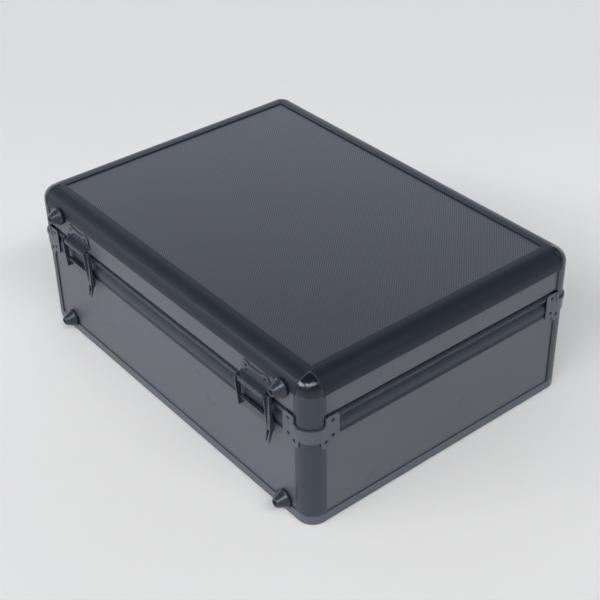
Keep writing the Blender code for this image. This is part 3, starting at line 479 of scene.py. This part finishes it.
gripLook = {
    "color": cool(0.014),
    "mottle": (0.8, 1.2),
    "roughness": 0.46,
    "uneven": (0.16, 0.1),  # roughness added by the clouds and the pores
    "ribPitch": 0.0042,
    "ribEdge": (-0.8, 0.2),
    "ribEnd": 0.045,  # the ribs stop this far from the middle
    "ribFade": 0.002,
    "cloud": 18.0,
    "pores": 1400.0,
    "poreHeight": 0.08,  # as a share of a rib's
    "depth": 0.0004,
}


def makeGrip():
    # soft moulded grip with ribs under the fingers
    look = gripLook
    finish = Finish("moulded_grip", {"IOR": 1.5})
    x, _y, _z = finish.axes(finish.place())
    rib = (x * (2 * math.pi / look["ribPitch"])).wave().smooth(*look["ribEdge"])
    held = x.size().smooth(look["ribEnd"] + look["ribFade"], look["ribEnd"])
    pores = finish.noise(look["pores"], 2.0)
    cloud = finish.noise(look["cloud"], 2.0)
    height = rib * held + (1 - held) + pores * look["poreHeight"]
    byCloud, byPores = look["uneven"]
    rough = look["roughness"] + (cloud - 0.5) * byCloud + (pores - 0.5) * byPores
    finish.paint(Base_Color=finish.mottled(cloud, look["color"], look["mottle"]), Roughness=rough)
    finish.paint(Normal=finish.relief(height, look["depth"]))
    return finish.material


liningLook = {
    "color": cool(0.020, 0.5),
    "flecks": (0.6, 1.6),
    "fleckEdge": (0.3, 0.7),
    "nap": 14.0,
    "napEdge": (0.3, 0.8),
    "napShade": 1.7,
    "napShare": 0.35,
    "sheen": 0.35,
    "sheenRoughness": 0.5,
    "roughness": 0.9,
    "uneven": 0.12,
    "fibre": 1800.0,
    "crossFibre": 1260.0,
    "depth": 0.0002,
}


def makeFelt():
    # flocked lining: short matted fibres with paler flecks
    look = liningLook
    finish = Finish("lining_felt", {
        "IOR": 1.4,
        "Sheen Weight": look["sheen"],
        "Sheen Roughness": look["sheenRoughness"],
    })
    fibre = finish.noise(look["fibre"], 3.0, (1.0, 0.4, 1.0))
    cross = finish.noise(look["crossFibre"], 3.0, (0.4, 1.0, 0.6))
    nap = finish.noise(look["nap"], 3.0).smooth(*look["napEdge"])
    pile = fibre * 0.5 + cross * 0.5
    color = finish.mottled(pile.smooth(*look["fleckEdge"]), look["color"], look["flecks"])
    brushed = shade(look["color"], look["napShade"])
    color = finish.between(nap * look["napShare"], color, brushed)
    finish.paint(Base_Color=color, Roughness=look["roughness"] + (pile - 0.5) * look["uneven"])
    finish.paint(Normal=finish.relief(pile, look["depth"]))
    return finish.material


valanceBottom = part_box("base_valance_back")[0][2]
finishes = {name: makeCoated(name) for name in coatedLooks}
finishes["wall_board"] = makeWallLaminate()
finishes["top_board"] = makeTopLaminate()
finishes["handle_grip"] = makeGrip()
finishes["lining"] = makeFelt()
for axis in "xyz":
    finishes["extrusion_" + axis] = makeDrawn("dark_anodised", extrusionLook, axis)
    finishes["valance_" + axis] = makeDrawn("grooved_anodised", valanceLook, axis, valanceBottom)
    finishes["top_rail_" + axis] = makeDrawn("black_anodised", railLook, axis)
finishes["bottom_frame"] = makeDrawn("grey_anodised", frameLook, "x")


def chooseFinish(part):
    # the slot's finish, with its draw lines along the longest side of a bar
    name, finish = part["node"], part["material_slot"]
    if name == "bottom_frame":
        return name
    if finish not in ("extrusion", "top_rail"):
        return finish
    if "valance" in name:
        finish = "valance"
    low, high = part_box(name)
    spans = [high[i] - low[i] for i in range(3)]
    return finish + "_" + "xyz"[spans.index(max(spans))]


for part in frame["record"]["subparts"]:
    for slot in nodes[part["node"]].material_slots:
        slot.material = finishes[chooseFinish(part)]
print("finishes:", len(finishes))


# Small fasteners

sharpTurn = math.radians(40)


def addHeads(name, mesh, body, finish):
    piece = bpy.data.objects.new(name, mesh)
    bpy.context.scene.collection.objects.link(piece)
    mesh.materials.append(finishes[finish])
    mesh.shade_smooth()
    mesh.set_sharp_from_angle(angle=sharpTurn)
    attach(piece, body)


def turnedHeads(profile, frames, steps=24, shape=None):
    # the same turned head at several frames; the profile runs from the axis outwards and down
    made = bmesh.new()
    for place in frames:
        rings = []
        for radius, height in profile:
            if radius == 0:
                rings.append([made.verts.new(place @ Vector((0, 0, height)))])
                continue
            ring = []
            for i in range(steps):
                turn = 2 * math.pi * i / steps
                point = Vector((radius * math.cos(turn), radius * math.sin(turn), height))
                ring.append(made.verts.new(place @ (shape(point) if shape else point)))
            rings.append(ring)
        for above, below in zip(rings, rings[1:]):
            for i in range(steps):
                j = (i + 1) % steps
                if len(above) == 1:
                    made.faces.new((above[0], below[i], below[j]))
                elif len(below) == 1:
                    made.faces.new((above[i], below[0], above[j]))
                else:
                    made.faces.new((above[i], below[i], below[j], above[j]))
    bmesh.ops.recalc_face_normals(made, faces=made.faces)
    mesh = bpy.data.meshes.new("heads")
    made.to_mesh(mesh)
    made.free()
    return mesh


dome = {
    "flat": 20.0,  # degrees from the axis to the edge of the small flat on top
    "rings": 6,
    "shank": 0.94,  # share of the head's radius
    "sunk": 0.0006,  # how far the shank goes into the sheet
}


def domeProfile(look):
    # a low dome on a short shank that ends inside the sheet
    radius, height, rings = look["radius"], look["height"], dome["rings"]
    turns = [math.radians(dome["flat"] + (90 - dome["flat"]) * i / rings) for i in range(rings + 1)]
    crown = [(0, height * math.cos(turns[0]))]
    crown += [(radius * math.sin(turn), height * math.cos(turn)) for turn in turns]
    return crown + [(radius * dome["shank"], -dome["sunk"]), (0, -dome["sunk"])]


def facing(normal, point):
    # a frame at a point with its Z along a normal
    turn = Vector((0, 0, 1)).rotation_difference(Vector(normal)).to_matrix().to_4x4()
    return Matrix.Translation(point) @ turn


bracketRivets = {
    "radius": 0.0021,
    "height": 0.0008,
    "rim": 0.0008,  # how far the notch's rim stands above the sheet
    # from the body's corner, and down from the top of the bracket
    "places": [(0.0268, 0.0055), (0.0268, 0.0226), (0.0188, 0.0268)],
}


def addBracketRivets():
    for corner, (x, y) in corners.items():
        low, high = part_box("corner_bracket_" + corner)
        outX = (high[0] if x > 0 else -low[0]) - bracketRivets["rim"]
        outY = (high[1] if y > 0 else -low[1]) - bracketRivets["rim"]
        places = []
        for reach, drop in bracketRivets["places"]:
            z = high[2] - drop
            places.append(facing((0, y, 0), Vector((x * (bodyHigh[0] - reach), y * outY, z))))
            places.append(facing((x, 0, 0), Vector((x * outX, y * (bodyHigh[1] - reach), z))))
        mesh = turnedHeads(domeProfile(bracketRivets), places)
        addHeads("bracket_rivets_" + corner, mesh, "base", "rivet")


hingeRivets = {
    "radius": 0.0018,
    "height": 0.0008,
    "ears": [0.0066, 0.0344],  # across the leaf, from its left edge
    "earDrop": 0.0048,  # below the tops of the ears
    "leafOut": 0.0002,  # from the body's bars out to the leaf's face
}


def addHingeRivets():
    for end in ends:
        low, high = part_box("hinge_upper_leaf_" + end)
        out = bodyHigh[1] + hingeRivets["leafOut"]
        z = high[2] - hingeRivets["earDrop"]
        spots = [Vector((low[0] + across, out, z)) for across in hingeRivets["ears"]]
        mesh = turnedHeads(domeProfile(hingeRivets), [facing((0, 1, 0), spot) for spot in spots])
        addHeads("hinge_ear_rivets_" + end, mesh, "lid", "rivet")


plateRivets = {
    "radius": 0.0016,
    "height": 0.0007,
    # name, plate, body, from the body's bars out to the plate's face,
    # and from the plate's middle to the rivets, across and up
    "plates": [
        ("latch_base_rivets_", "latch_base_", "base", 0.0015, 0.0143, 0.0162),
        ("latch_catch_rivets_", "latch_catch_", "lid", 0.0004, 0.0125, 0),
        ("handle_plate_rivets_", "handle_bracket_", "base", 0.0004, 0.0080, 0.0120),
    ],
}


def addPlateRivets():
    for end in ends:
        for name, plate, body, out, across, up in plateRivets["plates"]:
            low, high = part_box(plate + end)
            x, y, z = (low[0] + high[0]) / 2, -bodyHigh[1] - out, (low[2] + high[2]) / 2
            places = []
            for side in (-across, across):
                for row in (-up, up) if up else (0,):
                    places.append(facing((0, -1, 0), Vector((x + side, y, z + row))))
            mesh = turnedHeads(domeProfile(plateRivets), places)
            addHeads(name + end, mesh, body, "rivet")


footScrew = {
    "radius": 0.0023,
    "height": 0.0011,
    "crown": 0.35,  # how much lower the rim is, as a share of the height
    "rings": 9,
    "steps": 40,
    "shank": 0.0012,  # length below the head
    "shankShare": 0.6,  # of the head's radius
    "slot": 0.0005,  # half the width of the cross's arms
    "slotReach": 0.0014,
    "slotDepth": 0.0007,
    "slotRise": 0.5,  # how much of its depth the cross loses towards its tips
    "bore": 0.0049,  # depth of the foot's bore
    "gap": 0.0002,  # between the bore's floor and the head
}


def crossRecess(point):
    # pushes the middle of a head down inside a cross
    x, y = abs(point.x), abs(point.y)
    reach = max(x, y)
    if min(x, y) < footScrew["slot"] and reach < footScrew["slotReach"]:
        slope = 1 - footScrew["slotRise"] * reach / footScrew["slotReach"]
        return point - Vector((0, 0, footScrew["slotDepth"] * slope))
    return point


def addFootScrews():
    radius, height, rings = footScrew["radius"], footScrew["height"], footScrew["rings"]
    profile = [(0, height - footScrew["slotDepth"])]
    for i in range(1, rings + 1):
        profile.append((radius * i / rings, height * (1 - footScrew["crown"] * (i / rings) ** 2)))
    inner = radius * footScrew["shankShare"]
    profile += [(radius, 0), (inner, 0), (inner, -footScrew["shank"]), (0, -footScrew["shank"])]
    for level, body in (("lower", "base"), ("upper", "lid")):
        for end in ends:
            low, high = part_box(f"rear_foot_{level}_{end}")
            x, z = (low[0] + high[0]) / 2, (low[2] + high[2]) / 2
            seat = Vector((x, high[1] - footScrew["bore"] + footScrew["gap"], z))
            mesh = turnedHeads(profile, [facing((0, 1, 0), seat)], footScrew["steps"], crossRecess)
            addHeads(f"foot_screw_{level}_{end}", mesh, body, "screw")


addBracketRivets()
addHingeRivets()
addPlateRivets()
addFootScrews()
print("rivets and screws")


# Studio

floorLook = {
    "color": (0.77, 0.76, 0.74, 1),
    "mottle": (0.985, 1.015),
    "cloud": 0.7,
    "roughness": 0.9,
    "gloss": 0.1,
    "size": 16.0,
    "drop": 0.0002,  # just under the case, so that they don't share a face
    "paintedFarShade": 0.90,  # painted shade: a little darker beyond the case, where less light falls
    "paintedShadeSide": (0.78, -0.62),
    "paintedShadeRamp": (0.05, 0.75),  # metres towards that side
}
skyLook = {
    "zenith": 0.15,
    "horizon": 1.65,
    "horizonRise": (0.30, 0.64),  # sine of the elevation, from full glow to none
    "glowSide": (0.80, -0.60),
    "glowSpread": (0.0, 0.85),
    "glowLeast": 0.20,  # share of the glow on the far side
    "color": (0.90, 0.95, 1.07, 1),
    "panels": (1.0, 1.0, 1.0, 1),
    "strip": 9.1,  # a row of ceiling panels, seen from the case as a bowed band
    "stripNormal": (0.419, -0.222, 0.880),
    "stripPlace": 0.354,
    "stripHalf": 0.087,
    "stripSoft": 0.04,
    "stripSide": (0.61, -0.79),
    "stripEnds": (-0.08, -0.28),
    "stripRise": (0.08, 0.2),
}
lampLook = {
    "power": 14.0,
    "aim": (-0.4, 0.7, 0.6),
    "distance": 4.6,
    "size": (3.0, 2.0),
}
cameraView = {
    "aim": (0.01912, -0.02121, 0.04016),
    "azimuth": 231.556,
    "elevation": 35.035,
    "roll": -1.2144,
    "distance": 1.40113,
    "lens": 77.698,
    "far": 40.0,
}


def addFloor():
    made = bmesh.new()
    bmesh.ops.create_grid(made, x_segments=8, y_segments=8, size=floorLook["size"] / 2)
    mesh = bpy.data.meshes.new("floor")
    made.to_mesh(mesh)
    made.free()
    floor = bpy.data.objects.new("floor", mesh)
    bpy.context.scene.collection.objects.link(floor)
    constants = {"Roughness": floorLook["roughness"], "Specular IOR Level": floorLook["gloss"]}
    finish = Finish("pale_floor", constants)
    cloud = finish.noise(floorLook["cloud"], 2.0)
    x, y, _z = finish.axes(finish.place())
    sideX, sideY = floorLook["paintedShadeSide"]
    # painted shade: the floor darkens away from the camera, beyond the case
    farShade = (x * sideX + y * sideY).smooth(*floorLook["paintedShadeRamp"])
    color = finish.mottled(cloud, floorLook["color"], floorLook["mottle"])
    far = shade(floorLook["color"], floorLook["paintedFarShade"])
    finish.paint(Base_Color=finish.between(farShade, color, far))
    mesh.materials.append(finish.material)
    floor.location.z = -floorLook["drop"]


def addWorld():
    look = skyLook
    world = bpy.data.worlds.new("studio")
    bpy.context.scene.world = world
    world.use_nodes = True
    sky = Net(world.node_tree)
    x, y, z = sky.axes(sky.node("TexCoord", output="Generated"))

    low, high = look["horizonRise"]
    sideX, sideY = look["glowSide"]
    side = (x * sideX + y * sideY).smooth(*look["glowSpread"])
    glow = z.smooth(high, low) * (look["horizon"] - look["zenith"])
    base = look["zenith"] + glow * (look["glowLeast"] + side * (1 - look["glowLeast"]))

    normalX, normalY, normalZ = look["stripNormal"]
    across = (x * normalX + y * normalY + z * normalZ - look["stripPlace"]).size()
    half, soft = look["stripHalf"], look["stripSoft"]
    band = across.smooth(half + soft, half - soft)
    sideX, sideY = look["stripSide"]
    behind = (x * sideX + y * sideY).smooth(*look["stripEnds"])
    strip = band * behind * z.smooth(*look["stripRise"])

    background = world.node_tree.nodes["Background"]
    sky.feed(background.inputs["Color"], sky.between(strip, look["color"], look["panels"]))
    sky.feed(background.inputs["Strength"], base + strip * look["strip"])


def addLamp():
    lamp = bpy.data.lights.new("soft_lamp", "AREA")
    lamp.shape = "RECTANGLE"
    lamp.size, lamp.size_y = lampLook["size"]
    lamp.energy = lampLook["power"]
    holder = bpy.data.objects.new("soft_lamp", lamp)
    bpy.context.scene.collection.objects.link(holder)
    direction = Vector(lampLook["aim"]).normalized()
    holder.location = direction * lampLook["distance"]
    holder.rotation_euler = direction.to_track_quat("Z", "Y").to_euler()


def addCamera():
    azimuth = math.radians(cameraView["azimuth"])
    elevation = math.radians(cameraView["elevation"])
    roll = math.radians(cameraView["roll"])
    level = math.cos(elevation)
    back = Vector((math.sin(azimuth) * level, -math.cos(azimuth) * level, math.sin(elevation)))
    right = Vector((0, 0, 1)).cross(back).normalized()
    up = back.cross(right)
    across = right * math.cos(roll) + up * math.sin(roll)
    above = up * math.cos(roll) - right * math.sin(roll)
    turn = Matrix((across, above, back)).transposed().to_4x4()
    camera = bpy.data.cameras.new("camera")
    camera.lens = cameraView["lens"]
    camera.clip_end = cameraView["far"]
    holder = bpy.data.objects.new("camera", camera)
    bpy.context.scene.collection.objects.link(holder)
    place = Vector(cameraView["aim"]) + back * cameraView["distance"]
    holder.matrix_world = Matrix.Translation(place) @ turn
    bpy.context.scene.camera = holder


addFloor()
addWorld()
addLamp()
addCamera()
bpy.context.scene.view_settings.view_transform = "Standard"
print("studio")
